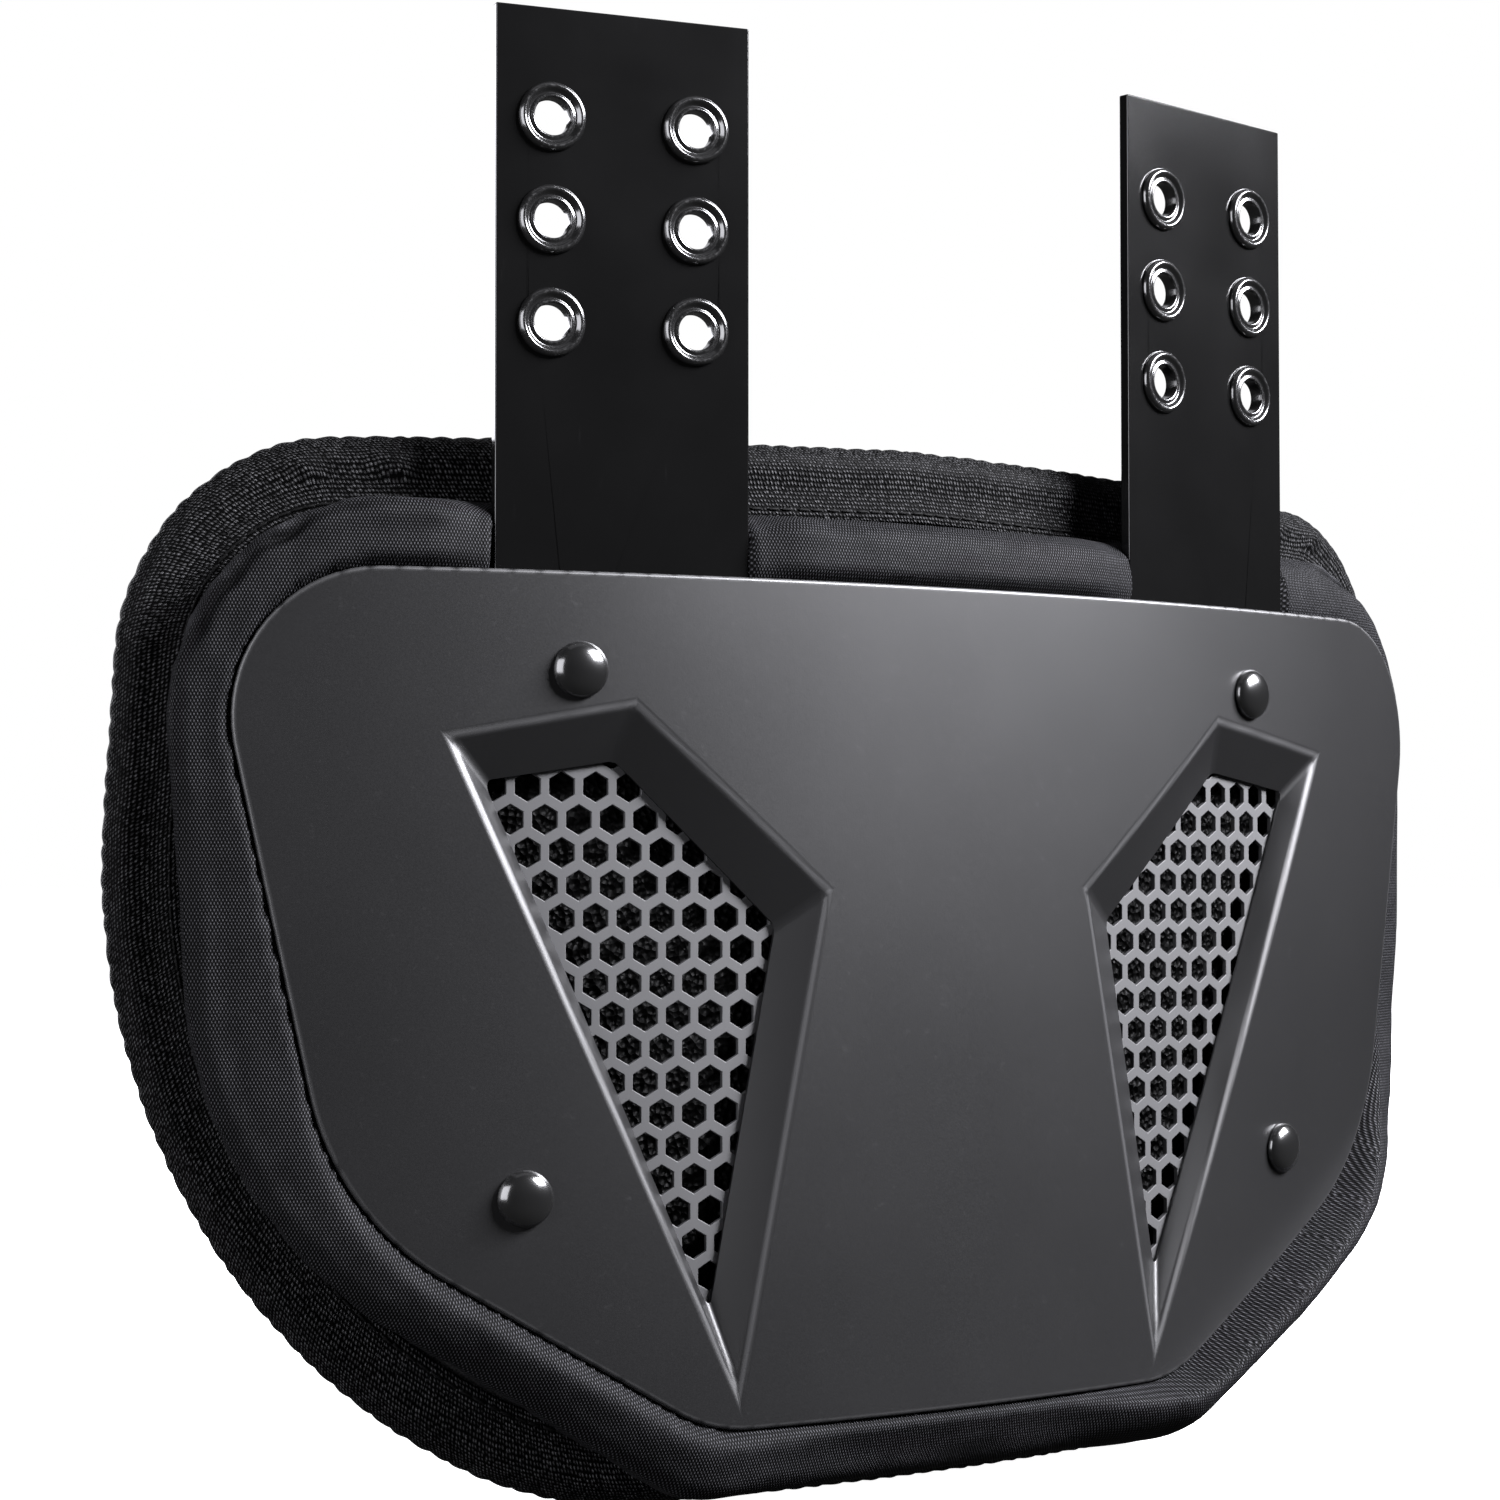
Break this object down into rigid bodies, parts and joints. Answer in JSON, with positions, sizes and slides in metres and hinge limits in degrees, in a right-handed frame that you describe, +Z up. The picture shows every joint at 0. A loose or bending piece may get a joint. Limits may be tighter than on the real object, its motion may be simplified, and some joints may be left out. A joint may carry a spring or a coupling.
{
  "type": "football back plate",
  "caption": "Curved lower-back plate with grilled vents on a padded, webbing-bound cushion, with flat straps pierced by eyelets for bolting it to shoulder pads.",
  "frame": {"origin": "on the floor under the middle of the part, which stands on the flat lower edge of its pads", "axes": "+X to the right seen from the plate's front, -Y out of the plate's front face, +Z up along the straps"},
  "size_m": [0.3584, 0.0658, 0.322],
  "materials": {
    "plate_plastic": "satin moulded, fine grain, dark grey",
    "grille_plastic": "satin moulded, dark grey",
    "strap_plastic": "gloss black",
    "eyelet_metal": "gloss black",
    "rivet_metal": "gloss black",
    "cushion_fabric": "plain-weave coated cloth, charcoal with a soft sheen",
    "rear_fabric": "matte knitted lining, black",
    "binding_webbing": "black twill webbing with diagonal ribs"
  },
  "bodies": {
    "root": {"plate": "plate_plastic", "grille_left": "grille_plastic", "grille_right": "grille_plastic", "strap_left": "strap_plastic", "strap_right": "strap_plastic", "eyelet_left_1": "eyelet_metal", "eyelet_left_2": "eyelet_metal", "eyelet_left_3": "eyelet_metal", "eyelet_left_4": "eyelet_metal", "eyelet_left_5": "eyelet_metal", "eyelet_left_6": "eyelet_metal", "eyelet_right_1": "eyelet_metal", "eyelet_right_2": "eyelet_metal", "eyelet_right_3": "eyelet_metal", "eyelet_right_4": "eyelet_metal", "eyelet_right_5": "eyelet_metal", "eyelet_right_6": "eyelet_metal", "rivet_upper_left": "rivet_metal", "rivet_upper_right": "rivet_metal", "rivet_lower_left": "rivet_metal", "rivet_lower_right": "rivet_metal", "cushion": "cushion_fabric", "rear_pad": "rear_fabric", "edge_binding": "binding_webbing"}
  },
  "joints": []
}
